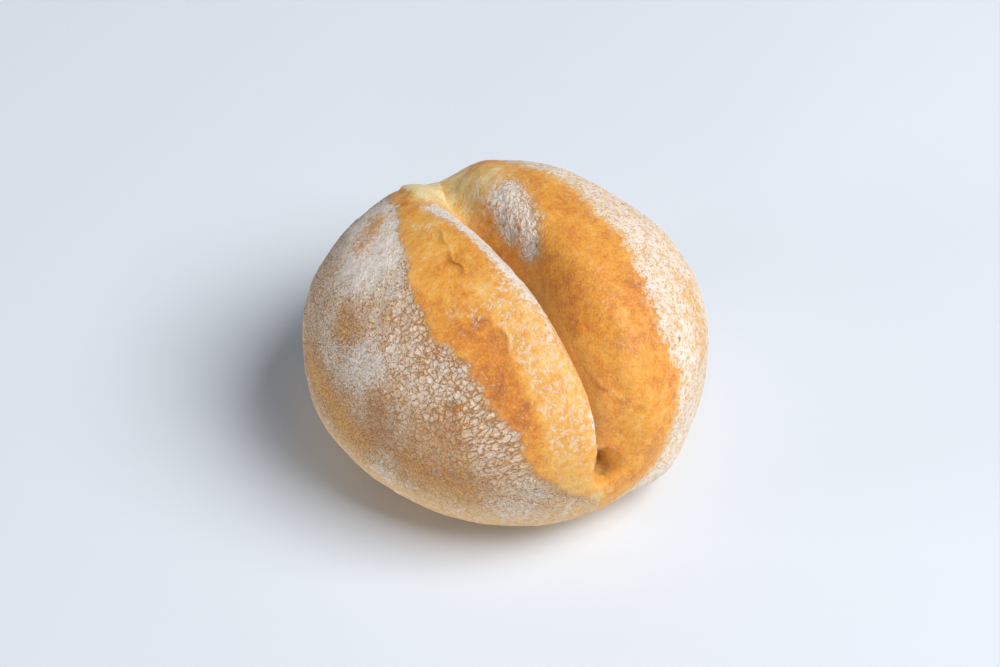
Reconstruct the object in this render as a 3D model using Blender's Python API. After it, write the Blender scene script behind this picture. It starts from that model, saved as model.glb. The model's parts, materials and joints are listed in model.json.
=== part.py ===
"""Crusty bread roll: one solid of dough, flat only on the small spot it rests on.

The roll is a round ball of dough pressed once along its middle, so two full
lobes lean on each other over a deep crease.  +Y runs along the crease to its
far end, the larger lobe is on -X, +Z is up and the base lies on Z = 0.

Every point of the skin is named by two angles.  "turn" goes round the roll in
the plane of the crease: 0 at the top, +90 at the far end, -90 at the near end.
"side" goes across it: 0 on the mid plane, -90 and +90 at the two flanks.
"""
import math

import bpy
import bmesh
import numpy as np

NAME = "roll"

# Overall size, metres.
HALF_WIDTH = 0.0468
HALF_LENGTH = 0.0485
HEIGHT = 0.0625
WIDEST_AT = 0.0270
UPPER_FULLNESS = 2.17
LOWER_FULLNESS = 2.90
BASE_SINK = 0.0030
PLAN_SQUARENESS = 2.05

# Unevenness of the plan outline: order, share of the radius, direction in degrees.
PLAN_WAVES = ((2, 0.021, -31.0), (3, 0.009, 34.0), (4, 0.009, -29.0))

# The crease from the near end to the far one: turn in degrees, then across
# position of its floor, its depth, widths of the near and far lips, and how far
# each lip gives way to a soft open slope (0 a round lip, 1 a soft slope).
CREASE_STATIONS = (
    (-115.0, -0.0080, 0.0000, 0.0070, 0.0140, 0.0, 1.0),
    (-101.0, -0.0078, 0.0000, 0.0070, 0.0140, 0.0, 1.0),
    (-95.0, -0.0076, 0.0006, 0.0070, 0.0140, 0.0, 1.0),
    (-90.0, -0.0072, 0.0034, 0.0070, 0.0140, 0.0, 0.9),
    (-84.0, -0.0064, 0.0064, 0.0080, 0.0140, 0.0, 0.7),
    (-70.0, -0.0048, 0.0078, 0.0090, 0.0135, 0.0, 0.4),
    (-45.0, -0.0023, 0.0125, 0.0110, 0.0140, 0.0, 0.2),
    (-12.0, 0.0002, 0.0175, 0.0120, 0.0145, 0.0, 0.1),
    (15.0, -0.0001, 0.0165, 0.0110, 0.0140, 0.0, 0.2),
    (34.0, -0.0004, 0.0120, 0.0095, 0.0145, 0.1, 0.5),
    (48.0, 0.0016, 0.0068, 0.0100, 0.0145, 0.4, 0.8),
    (58.0, 0.0056, 0.0034, 0.0130, 0.0140, 0.8, 1.0),
    (67.0, 0.0088, 0.0024, 0.0150, 0.0130, 1.0, 1.0),
    (85.0, 0.0115, 0.0010, 0.0150, 0.0140, 1.0, 1.0),
    (105.0, 0.0120, 0.0000, 0.0150, 0.0140, 1.0, 1.0),
)
# How full each lip is (2 is round, more is squarer), and the share of its
# roundness lost where the two lobes touch.
NEAR_LIP = (3.0, 0.03)
FAR_LIP = (2.0, 0.06)

# Swells (+) and hollows (-): turn, side, radius, height.
SWELLS = (
    (-114.0, 16.0, 0.0125, 0.0019),
    (-90.0, 36.0, 0.0120, -0.0006),
    (-90.0, -8.5, 0.0045, -0.0034),
    (30.0, 62.0, 0.0220, -0.0008),
    (60.0, -70.0, 0.0220, -0.0007),
    (23.0, -58.0, 0.0090, -0.0006),
    (-57.0, -78.0, 0.0110, -0.0007),
    (-45.0, -30.0, 0.0130, -0.0006),
    (5.0, 42.0, 0.0160, -0.0005),
)

# Mesh of the solid: meridians run from flank to flank across the crease.
MERIDIANS = 120
FINE_STEPS = 2400
NEAR_ROWS = 19
FAR_ROWS = 18
CREASE_CROWDING = 1.25

CRUST_COLOUR = (0.56, 0.31, 0.10, 1.0)
CRUST_ROUGHNESS = 0.62


def station_values(turn, column):
    """One column of the crease stations at a turn, as a smooth curve."""
    turns = np.array([row[0] for row in CREASE_STATIONS])
    values = np.array([row[column] for row in CREASE_STATIONS])
    slopes = np.gradient(values, turns)
    at = np.clip(turn, turns[0], turns[-1])
    i = np.clip(np.searchsorted(turns, at, side="right") - 1, 0, len(turns) - 2)
    span = turns[i + 1] - turns[i]
    t = (at - turns[i]) / span
    start = values[i] * (1.0 + 2.0 * t) * (1.0 - t) ** 2 + slopes[i] * span * t * (1.0 - t) ** 2
    end = values[i + 1] * t * t * (3.0 - 2.0 * t) + slopes[i + 1] * span * t * t * (t - 1.0)
    return start + end


def floor_across(turn):
    """Across position of the crease's floor at a turn."""
    return station_values(turn, 1)


def plan_radius(angle):
    """Distance from the upright axis to the widest outline."""
    power = PLAN_SQUARENESS
    along_x = np.abs(np.cos(angle) / HALF_WIDTH) ** power
    along_y = np.abs(np.sin(angle) / HALF_LENGTH) ** power
    wave = 1.0
    for order, share, direction in PLAN_WAVES:
        wave = wave + share * np.cos(order * (angle - math.radians(direction)))
    return (along_x + along_y) ** (-1.0 / power) * wave


def dough_ball(nx, ny, nz):
    """Surface of the ball before it is creased, for a unit direction."""
    angle = np.arctan2(ny, nx)
    out = np.hypot(nx, ny)
    up = np.abs(nz)
    upper = nz >= 0.0
    fullness = np.where(upper, UPPER_FULLNESS, LOWER_FULLNESS)
    reach = out ** (2.0 / fullness)
    rise = up ** (2.0 / fullness)
    z_upper = WIDEST_AT + (HEIGHT - WIDEST_AT) * rise
    z_lower = WIDEST_AT - (WIDEST_AT + BASE_SINK) * rise
    radius = plan_radius(angle) * reach
    return radius * np.cos(angle), radius * np.sin(angle), np.where(upper, z_upper, z_lower)


def direction(turn, side):
    """Unit direction of a turn and a side, both in degrees."""
    turn = np.radians(turn)
    side = np.radians(side)
    return np.sin(side), np.cos(side) * np.sin(turn), np.cos(side) * np.cos(turn)


def turn_of(y, z):
    """Turn of a point, in degrees from -180 to 180."""
    return np.degrees(np.arctan2(y, z - WIDEST_AT))


def soft_fall(u):
    """Share of the depth on a soft slope, from 1 at the floor to 0 on the lobe."""
    return (1.0 - u) ** 2 * (1.0 + 2.0 * u)


def lip_fall(u, fullness, touch):
    """Share of the depth on a full lip, from 1 at the floor to 0 on the lobe."""
    floor = touch / (1.0 + touch)
    v = np.clip((u + touch) / (1.0 + touch), 0.0, 1.0)
    deepest = 1.0 - (1.0 - (1.0 - floor) ** fullness) ** (1.0 / fullness)
    return (1.0 - (1.0 - (1.0 - v) ** fullness) ** (1.0 / fullness)) / deepest


def creased(x, y, z):
    """Let the two lobes fall into the crease over rounded lips."""
    turn = turn_of(y, z)
    offset = x - floor_across(turn)
    near = offset < 0.0
    width = np.where(near, station_values(turn, 3), station_values(turn, 4))
    softness = np.where(near, station_values(turn, 5), station_values(turn, 6))
    u = np.clip(np.abs(offset) / width, 0.0, 1.0)
    lip = np.where(near, lip_fall(u, *NEAR_LIP), lip_fall(u, *FAR_LIP))
    share = lip + softness * (soft_fall(u) - lip)
    fall = np.maximum(station_values(turn, 2), 0.0) * share
    reach = np.hypot(y, z - WIDEST_AT)
    keep = 1.0 - fall / np.maximum(reach, 1.0e-6)
    return x, y * keep, WIDEST_AT + (z - WIDEST_AT) * keep


def swollen(x, y, z, ball):
    """Push the skin out at the swells and in at the hollows."""
    reach = np.sqrt(x * x + y * y + (z - WIDEST_AT) ** 2)
    push = 0.0
    for turn, side, radius, height in SWELLS:
        cx, cy, cz = dough_ball(*direction(turn, side))
        gap = (ball[0] - cx) ** 2 + (ball[1] - cy) ** 2 + (ball[2] - cz) ** 2
        push = push + height * np.clip(1.0 - gap / radius ** 2, 0.0, 1.0) ** 2
    keep = 1.0 + push / np.maximum(reach, 1.0e-6)
    return x * keep, y * keep, WIDEST_AT + (z - WIDEST_AT) * keep


def surface(nx, ny, nz):
    """Finished skin of the roll for a unit direction."""
    ball = dough_ball(nx, ny, nz)
    x, y, z = creased(*ball)
    x, y, z = swollen(x, y, z, ball)
    return x, y, np.maximum(z, 0.0)


def meridian(turn):
    """Fine line of points from the -X flank to the +X flank."""
    side = np.linspace(-90.0, 90.0, FINE_STEPS + 1)
    return np.stack(surface(*direction(turn, side)), axis=1)


def crowded(rows):
    """Fractions from 0 to 1, closer together towards 1."""
    return 1.0 - (1.0 - np.arange(rows + 1) / rows) ** CREASE_CROWDING


def resampled(line, fractions):
    """Points at fractions of a line's length."""
    steps = np.linalg.norm(np.diff(line, axis=0), axis=1)
    length = np.concatenate(([0.0], np.cumsum(steps)))
    at = fractions * length[-1]
    return np.stack([np.interp(at, length, line[:, k]) for k in range(3)], axis=1)


def row_points(turn):
    """Rows of one meridian, with one row pinned to the floor of the crease."""
    line = meridian(turn)
    floor_x = floor_across(turn_of(line[:, 1], line[:, 2]))
    floor = int(np.argmin(np.abs(line[:, 0] - floor_x)))
    near = resampled(line[:floor + 1], crowded(NEAR_ROWS))
    far = resampled(line[floor:][::-1], crowded(FAR_ROWS))[::-1]
    return np.concatenate((near, far[1:]))


def build_skin():
    """Closed skin of the roll as one mesh."""
    turns = np.arange(MERIDIANS) * 360.0 / MERIDIANS
    columns = [row_points(turn) for turn in turns]
    mesh = bmesh.new()
    poles = [mesh.verts.new(columns[0][0]), mesh.verts.new(columns[0][-1])]
    grid = [[mesh.verts.new(point) for point in column[1:-1]] for column in columns]
    for i, column in enumerate(grid):
        after = grid[(i + 1) % MERIDIANS]
        mesh.faces.new((poles[0], after[0], column[0]))
        for k in range(len(column) - 1):
            mesh.faces.new((column[k], after[k], after[k + 1], column[k + 1]))
        mesh.faces.new((poles[1], column[-1], after[-1]))
    return mesh


def crust_material():
    """Plain browned crust."""
    material = bpy.data.materials.new("crust")
    material.use_nodes = True
    shader = material.node_tree.nodes["Principled BSDF"]
    shader.inputs["Base Color"].default_value = CRUST_COLOUR
    shader.inputs["Roughness"].default_value = CRUST_ROUGHNESS
    return material


def build_roll():
    """The one node: a closed solid with its footprint centred on the origin."""
    mesh = build_skin()
    bmesh.ops.triangulate(mesh, faces=mesh.faces)
    bmesh.ops.recalc_face_normals(mesh, faces=mesh.faces)
    xs = [vert.co.x for vert in mesh.verts]
    ys = [vert.co.y for vert in mesh.verts]
    middle = ((min(xs) + max(xs)) / 2.0, (min(ys) + max(ys)) / 2.0, 0.0)
    for vert in mesh.verts:
        vert.co.x -= middle[0]
        vert.co.y -= middle[1]
    data = bpy.data.meshes.new(NAME)
    mesh.to_mesh(data)
    mesh.free()
    data.materials.append(crust_material())
    roll = bpy.data.objects.new(NAME, data)
    bpy.context.scene.collection.objects.link(roll)
    return roll


for old in list(bpy.data.objects):
    bpy.data.objects.remove(old)
build_roll()
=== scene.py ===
"""Looks of the crusty bread roll: one dense crust with its flour, folds and browning.

The crust repeats the shape of the CAD roll at a finer grain, in the same frame.
+Y runs along the crease to its far end, the larger "near" lobe is on -X and the
"far" lobe on +X, +Z is up and the base lies on Z = 0.

Every point of the skin is named by two angles.  "turn" goes round the roll in
the plane of the crease: 0 at the top, +90 at the far end, -90 at the near end.
"side" goes across it: 0 on the mid plane, -90 and +90 at the two flanks.
"""
import json
import math

import bpy
import numpy as np
from mathutils import Matrix, Vector

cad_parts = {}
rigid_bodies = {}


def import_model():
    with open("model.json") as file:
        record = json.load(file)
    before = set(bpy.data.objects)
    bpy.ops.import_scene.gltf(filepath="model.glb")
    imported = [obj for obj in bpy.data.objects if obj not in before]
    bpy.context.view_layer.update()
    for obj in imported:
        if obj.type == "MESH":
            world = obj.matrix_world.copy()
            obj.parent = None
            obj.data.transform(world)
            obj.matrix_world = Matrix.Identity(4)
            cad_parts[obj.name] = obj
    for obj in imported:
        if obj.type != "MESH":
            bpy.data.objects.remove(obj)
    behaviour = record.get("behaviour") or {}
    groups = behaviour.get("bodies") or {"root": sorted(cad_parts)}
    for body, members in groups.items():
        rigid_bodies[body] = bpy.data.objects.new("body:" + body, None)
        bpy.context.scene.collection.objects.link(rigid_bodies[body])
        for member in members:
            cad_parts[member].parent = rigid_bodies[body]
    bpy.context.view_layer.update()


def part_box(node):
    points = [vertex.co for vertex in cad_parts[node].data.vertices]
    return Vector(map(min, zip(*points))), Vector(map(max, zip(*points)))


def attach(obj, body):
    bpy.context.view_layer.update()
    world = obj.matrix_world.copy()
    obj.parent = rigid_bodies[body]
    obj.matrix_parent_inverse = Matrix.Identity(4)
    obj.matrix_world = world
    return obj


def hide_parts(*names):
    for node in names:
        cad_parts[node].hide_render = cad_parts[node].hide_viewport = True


MM = 0.001

# -------------------- shape, metres

HALF_WIDTH = 0.0468
HALF_LENGTH = 0.0485
HEIGHT = 0.0625
WIDEST_AT = 0.0270
UPPER_FULLNESS = 2.17
LOWER_FULLNESS = 2.90
BASE_SINK = 0.0030
PLAN_SQUARENESS = 2.05

# Unevenness of the plan outline: order, share of the radius, direction in degrees.
PLAN_WAVES = ((2, 0.021, -31.0), (3, 0.009, 34.0), (4, 0.009, -29.0))

# The crease from the near end to the far one: turn in degrees, then across
# position of its floor, its depth, widths of the near and far lips, and how far
# each lip gives way to a soft open slope (0 a round lip, 1 a soft slope).
CREASE_STATIONS = (
    (-115.0, -0.0080, 0.0000, 0.0070, 0.0140, 0.0, 1.0),
    (-101.0, -0.0078, 0.0000, 0.0070, 0.0140, 0.0, 1.0),
    (-95.0, -0.0076, 0.0006, 0.0070, 0.0140, 0.0, 1.0),
    (-90.0, -0.0072, 0.0034, 0.0070, 0.0140, 0.0, 0.9),
    (-84.0, -0.0064, 0.0064, 0.0080, 0.0140, 0.0, 0.7),
    (-70.0, -0.0048, 0.0078, 0.0090, 0.0135, 0.0, 0.4),
    (-45.0, -0.0023, 0.0125, 0.0110, 0.0140, 0.0, 0.2),
    (-12.0, 0.0002, 0.0175, 0.0120, 0.0145, 0.0, 0.1),
    (15.0, -0.0001, 0.0165, 0.0110, 0.0140, 0.0, 0.2),
    (34.0, -0.0004, 0.0120, 0.0095, 0.0145, 0.1, 0.5),
    (48.0, 0.0016, 0.0068, 0.0100, 0.0145, 0.4, 0.8),
    (58.0, 0.0056, 0.0034, 0.0130, 0.0140, 0.8, 1.0),
    (67.0, 0.0088, 0.0024, 0.0150, 0.0130, 1.0, 1.0),
    (85.0, 0.0115, 0.0010, 0.0150, 0.0140, 1.0, 1.0),
    (105.0, 0.0120, 0.0000, 0.0150, 0.0140, 1.0, 1.0),
)
# How full each lip is (2 is round, more is squarer), and the share of its
# roundness lost where the two lobes touch.
NEAR_LIP = (3.0, 0.03)
FAR_LIP = (2.0, 0.06)

# Swells (+) and hollows (-): turn, side, radius, height.
SWELLS = (
    (-114.0, 16.0, 0.0125, 0.0019),
    (-90.0, 36.0, 0.0120, -0.0006),
    (-90.0, -8.5, 0.0045, -0.0034),
    (30.0, 62.0, 0.0220, -0.0008),
    (60.0, -70.0, 0.0220, -0.0007),
    (23.0, -58.0, 0.0090, -0.0006),
    (-57.0, -78.0, 0.0110, -0.0007),
    (-45.0, -30.0, 0.0130, -0.0006),
    (5.0, 42.0, 0.0160, -0.0005),
)

# Mesh: meridians from flank to flank, close together except underneath.
FINE_TURN = 118.0
FINE_MERIDIANS = 372
COARSE_MERIDIANS = 40
LINE_STEPS = 2400
NEAR_ROWS = 120
FAR_ROWS = 114
CREASE_CROWDING = 1.12

# -------------------- skin
# Turns and sides are in degrees, everything else in mm.  A pair of numbers is the span
# over which something starts or fades.

# Outer edge of the bare stripe on each lobe, where the flour starts: turn, side.
NEAR_STRIPE_EDGE = (
    (-118, 2), (-100, -10), (-91, -21), (-82, -28), (-67, -31),
    (-58, -35.5), (-46, -36.5), (-33, -39), (-18, -43), (-5, -41),
    (10, -36), (24, -29), (37, -21), (56, -10), (80, 4), (110, 12),
)
FAR_STRIPE_EDGE = (
    (-118, 4), (-100, 8), (-88, 15), (-73, 21), (-57, 21),
    (-45, 26), (-34, 31), (-22, 35.5), (-6, 35.5), (10, 38),
    (23, 36), (32, 30), (48, 27), (70, 24), (90, 18), (110, 12),
)
# Wavering of those edges: rate per degree of turn, phase, reach.
EDGE_WAVES = ((0.24, 0.6, 0.45), (0.61, 2.1, 0.35), (1.43, 4, 0.25))
# Blur of the flour's edge: on the near lobe, more of it at its near end, on the far lobe.
NEAR_BLUR = 2.4
NEAR_END_BLUR = 3.0
NEAR_END_TURNS = (-96, -70)
FAR_BLUR = 4.0
# Distance outside the edge over which the crackle and the flank's browning start.
CRACKLE_EDGE = (-0.5, 1.5)
BAKE_EDGE = (-1, 1)
# Line of the near lobe's lip over the crease: turn, across.
NEAR_LIP_LINE = (
    (-100, -8), (-84, -6.6), (-70, -4.9), (-45, -2.6), (-12, -1.8), (15, -1.8),
    (34, -3.6), (40, -5.9), (47, -6.3), (57, -4.6), (70, 0), (100, 8),
)

# On the near and the far lobe: the stripe's flour, what the flank adds, its crackle.
BARE_FLOUR = (0.08, 0.10)
FLANK_FLOUR = (0.55, 0.65)
FLANK_CRACKLE = (1, 0.30)
# Coarseness of the plates: the least, and the coarsest place.
LEAST_COARSE = 0.40
COARSE_LINE = ((-26, -8, 56), (-32, -20, 49), (-27, -35, 43))
COARSE_RADIUS = 22.0

# Places that differ in both flour and browning.
LEFT_RIM = ((-44.6, 17.5, 31), (-46.8, 6.5, 30), (-46.6, -4, 26.5))
UPPER_HOLLOW = ((-38.5, 10, 48),)
LEFT_HOLLOW = ((-43.2, -8.5, 39), (-44.5, -10, 33))
FRONT_HOLLOW = ((-38, -21, 41), (-35, -24, 41))

# Spots, in the order in which they are laid on: the mask that it moves, where it counts,
# its strength, the value that it moves the mask to, its radius, its point or line.
NEAR_FLOUR_SPOTS = (
    ("flour", "near_flank", 1.2, 0.88, 18, ((-16, 29, 54), (-25, 18, 55))),
    ("flour", "near_flank", 1.1, 0.78, 13, ((-41.5, 7, 44.5), (-41.5, 1, 44.5))),
    ("crackle", "near_flank", 1, 0.45, 15, ((-16, 29, 54), (-24, 20, 55))),
    ("flour", "near_flank", 0.9, 0.50, 6, ((-16.7, 28.7, 54.2), (-24, 24, 52.5))),
    ("flour", "near", 1, 0.36, 9, UPPER_HOLLOW),
    ("flour", "near", 1, 0.38, 8, LEFT_HOLLOW),
    ("flour", "near", 1, 0.32, 16, ((-41, -20, 27), (-34, -30, 25))),
    ("flour", "near", 1, 0.42, 8, FRONT_HOLLOW),
    ("flour", "near", 0.9, 0.38, 6, ((-33.4, -25.3, 44), (-35, -28, 39.5))),
)
LOW_FLOUR_SPOTS = (
    ("flour", "near", 0.9, 0.72, 8, ((-44.5, -12.5, 21), (-45, -10, 24))),
    ("flour", "near", 0.9, 0.72, 9, ((-29, -37, 23), (-25, -40, 20))),
    ("flour", "near", 0.9, 0.22, 10, LEFT_RIM),
)
CREASE_FLOUR_SPOTS = (
    ("flour", "near", 1, 0.55, 3.6, ((-14.2, 18, 59.2), (-11.7, 14.8, 60.4))),
    ("flour", "near", 1, 0.45, 5, ((-21.7, -9.3, 58.4), (-18.8, -13, 58.8))),
    ("flour", "far", 0.9, 0.62, 15, ((9, 17, 58), (6, 22, 55))),
    ("crackle", "far", 1, 0.05, 14, ((9, 18, 58), (6, 22, 55))),
)
# The fuzz over the pit, the thin place on the far lobe's flank, and the flour under the pit.
FAR_FLOUR_SPOTS = (
    ("flour", "both", 1.3, 0.74, 1.9,
     ((-7.2, -41.4, 43), (-8, -43.6, 38.5), (-7.2, -44.2, 33), (-5.6, -43.2, 31))),
    ("flour", "far", 0.8, 0.50, 8, ((33, -27, 46), (30, -36, 36))),
    ("flour", "both", 1, 0.78, 10, ((0, -45.2, 10.5), (7.2, -47, 13.9), (15, -46.5, 15))),
)
BAKE_SPOTS = (
    ("bake", "near", 1, 0.42, 16, ((-12, 20, 58.5), (-18, 8, 60.5))),
    ("bake", "near", 1.2, 0.74, 9, ((-19.5, -17, 57.5), (-22, -28, 51), (-20.5, -36, 45))),
    ("bake", "near", 1, 0.50, 12, ((-14, -41, 42), (-13, -46, 30))),
    ("bake", "far", 1, 0.62, 10, ((19, -27, 54), (17, -36, 48))),
    ("bake", "far", 1, 0.64, 7, ((6, -11, 54), (5, -24, 51))),
    ("bake", "far", 1, 0.46, 9, ((5, -40, 40), (3, -45, 34))),
)
LAST_BAKE_SPOTS = (
    ("bake", "near", 0.9, 0.40, 10, LEFT_RIM),
    ("bake", "near", 1, 0.92, 10, LEFT_HOLLOW),
    ("bake", "near", 1, 0.80, 8, FRONT_HOLLOW),
    ("bake", "near", 1, 0.56, 8.5, UPPER_HOLLOW),
    ("bake", "far", 1, 0.18, 11, ((6, 24, 55), (13, 24, 57))),
)
# Low on the roll: height under which a mask has a value, height over which it is left
# alone, and that value.
LOW_NEAR_FLOUR = (14, 28, 0.56)
LOW_NEAR_CRACKLE = (12, 26, 0.30)
LOWEST_FLOUR = (3, 12, 0.30)
LOW_NEAR_BAKE = (18, 31, 0.32)
LOW_FAR_BAKE = (14, 24, 0.36)

# The lightly dusted band on the near lobe beside the crease.
BAND_SIDES = (-27, -22)
BAND_END_TURNS = (-22, 2)
BAND_FLOUR_TURNS = (-98, -70)
BAND_FLOUR = 0.47
BAND_BAKE = 0.41
BAND_BAKE_STRENGTH = 1.3
# The thick flour on the near lobe's lip, across from the lip's line.
LIP_ACROSS = (-7.5, -2.8)
LIP_START_TURNS = (-60, 0)
LIP_END_TURNS = (30, 43)
LIP_STRENGTH = 1.2
LIP_FLOUR = 0.90
LIP_CRACKLE = 0.55
# The floury patch on the far lobe's inner wall: radius and line of its two parts, then
# strength and value for each mask.
PATCH_PARTS = (
    (6.5, ((10.5, 14, 59.5), (9, 3, 59), (5, -2, 56))),
    (6, ((9, 14, 58), (5, 5, 56))),
)
PATCH_MASKS = (("flour", 1.1, 0.82), ("crackle", 1.3, 0.66), ("coarse", 1.4, 1))

# Browning, where no spot changes it.
STRIPE_BAKE = 0.55
NEAR_FLANK_BAKE = 0.66
FAR_FLANK_BAKE = 0.38
PIT_BAKE = 0.24
PIT_BAKE_STRENGTH = 1.5
# Pale dough in the crease's far part.  PALE_FADE is in shares of its half width, and
# PALE_FAR_SHIFT moves its middle on the far lobe.
PALE_WIDTH = 9.0
PALE_WIDENING = 5.0
PALE_WIDENING_TURNS = (50, 90)
PALE_FADE = (0.55, 1.10)
PALE_FAR_SHIFT = 1.0
PALE_START_TURNS = (22, 50)
PALE_END_TURNS = (105, 125)
PALE_FLOUR_TURNS = (38, 50)
PALE_BAKE = 0.16
# The saddle, palest of all, across from the lip's line.
SADDLE_ACROSS = (-0.3, 0.5)
SADDLE_START_TURNS = (34, 42)
SADDLE_END_TURNS = (95, 120)
SADDLE_BAKE = 0.02
SADDLE_FLOUR = 0.10

# Folds and cracks of the crust: line of points, depth of the groove, height of the flap
# that stands over it on the left of the line.
FOLDS = (
    (((-10.9, 12.6, 61), (-12.2, 8.5, 61.3), (-12.9, 5.2, 61.4)), 0.45, 0.25),
    (((-13.2, 5.6, 61.4), (-14.4, 1.8, 61.3), (-14.2, -1.4, 61.2), (-14.6, -4.4, 61)),
     0.75, 0.50),
    (((-15.6, -18.4, 58.3), (-16.5, -21.3, 57.4), (-18.3, -26.2, 54.8)), 0.60, 0.45),
    (((-31.2, -21, 48.9), (-32.6, -24, 46.5), (-32.9, -26.4, 43.7), (-34.4, -28, 40.2)),
     0.45, 0.10),
    (((-2, -34.5, 45.8), (0.4, -39.2, 43.2), (2.4, -42.7, 40.6)), 0.50, 0.35),
    (((-29.3, -14, 53.6), (-31.8, -17, 50.6)), 0.35, 0.15),
    (((-31.8, -17.5, 50.4), (-30.5, -21.5, 49.4)), 0.35, 0.15),
)
GROOVE_WIDTH = 0.60
FLAP_WIDTH = 3.0
FLAP_RISE = 0.7
FOLD_SWAY = 0.30
# Painted shade in a fold for each mm of its depth, and where this fades.
FOLD_SHADE = 1.6
FOLD_FADE = (0.1, 0.8)
# The step down from the near lobe's lip to the saddle, across from the lip's line.
STEP_DROP = 1.1
STEP_START = (-1, 0.8)
STEP_END = (3, 9)
STEP_START_TURNS = (34, 44)
STEP_END_TURNS = (56, 66)
# Heights over the base and distance from the crease's floor over which the relief starts.
RELIEF_HEIGHTS = (0.3, 4)
RELIEF_ACROSS = (0.3, 2.2)
PUSH_HEIGHTS = (0.5, 4)

# The pit at the crease's near end: its middle, the axes of its mouth, how far the mouth
# reaches to the left, to the right and up or down, and its depth inwards.
PIT_MIDDLE = (-5.4, -44.2, 26.3)
PIT_ACROSS = (0.802, -0.598, 0)
PIT_UP = (0.444, 0.596, 0.669)
PIT_REACH = (2.5, 5.6, 3.9)
PIT_INWARDS = (2.1, 2.8, -3.9)
# Only skin with less Y than this can be in it.
PIT_MOST_Y = -30.0
# Its fall starts at a share of the reach on the left, where it is steep, and in its middle
# on the right, where its power is less.
PIT_RIM = 0.70
PIT_POWER = 1.5
PIT_POWER_LOSS = 0.4
PIT_LEFT_TO_RIGHT = (-0.5, 2.5)
# Painted shade in the pit, which the right side has less of, and on the far lobe's inner wall
# beside the crease.
PIT_SHADE = 0.60
PIT_SHADE_LOSS = 0.40
PIT_SHADE_ACROSS = (-2.2, 1.2)
WALL_SHADE = 0.55
WALL_ACROSS = (0.8, 5)
WALL_START_TURNS = (-92, -76)
WALL_END_TURNS = (-25, -2)
# The one charred speck.
CHAR_PLACE = (22.3, -37, 45)
CHAR_RADIUS = 0.75
# Where the flour's plates are drawn out: centre, along, radius, share; then the share of
# that radius inside which they are drawn out in full.
DRAWN_ZONES = (
    ((-28, -34, 40), (0.91, -0.15, 0.38), 17, 0.55),
    ((9, 6, 58.5), (-0.14, -0.77, -0.63), 13, 0.60),
)
DRAWN_CORE = 0.4

# -------------------- looks

# Colour of the crust as it bakes, from pale dough to dark brown.
BAKE_COLOURS = (
    (0.00, (0.92, 0.77, 0.42, 1.0)),
    (0.28, (0.87, 0.50, 0.13, 1.0)),
    (0.50, (0.83, 0.35, 0.045, 1.0)),
    (0.74, (0.64, 0.21, 0.035, 1.0)),
    (1.00, (0.36, 0.12, 0.035, 1.0)),
)
DOT_COLOUR = (0.90, 0.60, 0.30, 1.0)
FILM_COLOUR = (0.75, 0.46, 0.24, 1.0)
# Brown crust in the cracks, darkened further as painted shade.
CRACK_AND_SHADE_COLOUR = (0.27, 0.115, 0.04, 1.0)
THIN_FLOUR_COLOUR = (0.84, 0.61, 0.40, 1.0)
THICK_FLOUR_COLOUR = (0.90, 0.82, 0.74, 1.0)
SPECK_COLOUR = (0.44, 0.22, 0.09, 1.0)
# Painted shade in the pit and on the far lobe's inner wall beside the crease.
PAINTED_SHADE_COLOUR = (0.50, 0.34, 0.11, 1.0)
# Painted shade down in the folds.
FOLD_SHADE_COLOUR = (0.36, 0.12, 0.015, 1.0)
CHAR_COLOUR = (0.10, 0.035, 0.012, 1.0)

# Size of the lumps of each noise in mm, then its detail, and its roughness unless 0.5.
GRAIN_NOISE = (0.42, 2.0)
SPECKLE_NOISE = (0.62, 2.0, 0.6)
CLOUD_NOISE = (2.4, 3.0, 0.6)
BLOTCH_NOISE = (6.5, 3.0, 0.55)
FINE_DUST_NOISE = (0.62, 2.0)
WIDE_DUST_NOISE = (1.5, 2.0)
PATCHY_NOISE = (2.6, 2.0)
BUMP_NOISE = (1.3, 3.0)
LUMP_NOISE = (12.0, 2.0)
SMALL_LUMP_NOISE = (3.4, 2.0)

# Heights in mm.
LUMP_HEIGHT = 1.0
SMALL_LUMP_HEIGHT = 0.42
PLATE_HEIGHT = 0.50

# Plates of the crackled flour, wide, middle and fine, in mm; then size and reach of the
# noises that bend them.
PLATE_SIZES = (1.55, 0.95, 0.60)
WIDE_BENDS = ((1.4, 0.75), (0.5, 0.30))
MIDDLE_BEND = (0.8, 0.50)
FINE_BEND = (0.5, 0.26)
# Span of the noise that widens the cracks, and least and most width: the fine don't vary.
CRACK_CLOUD = (0.36, 0.64)
WIDE_CRACKS = (0.10, 0.40)
MIDDLE_CRACKS = (0.08, 0.26)
FINE_CRACK = 0.34
# Depth of the cracks, of 1, and how far the wide plates are broken up by the others.
WIDE_DEPTH = 0.80
MIDDLE_DEPTH = 0.78
FINE_DEPTH = 0.62
WIDE_BREAKING = 0.45

# How far each pattern moves the browning and the flour.
BAKE_BY_CLOUD = 0.64
BAKE_BY_BLOTCH = 0.60
BAKE_BY_SPECKLE = 0.95
FLOUR_BY_CLOUD = 0.48
FLOUR_BY_BLOTCH = 0.34
# Pale dots.  Four numbers are low and high, least and most of a smooth step.
DOT_SIZE = 1.35
DOT_BEND = (1.0, 0.6)
DOT_EDGE = (0.30, 0.10)
DOT_BY_BLOTCH = (0.35, 0.65, 0.0, 0.45)
DOT_BY_SPECKLE = (0.06, 0.26, 0.0, 0.26)
# Loose dust.
FINE_DUST_EDGE = (0.25, 0.75)
WIDE_DUST_EDGE = (0.34, 0.66)
WIDE_DUST_SHARE = 0.50
# Crackled flour: its grain beside its plates.
GRAIN_EDGE = (0.30, 0.70)
GRAIN_SHARE = 0.30
# Levels at which flour starts to cover the crust and is full, for loose dust and for
# crackled flour; then how dense it is.
COVER_START = -0.20
COVER_FULL = (0.36, 0.24)
COVER_DENSITY = (0.1, 0.9, 0.50, 0.94)
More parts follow.
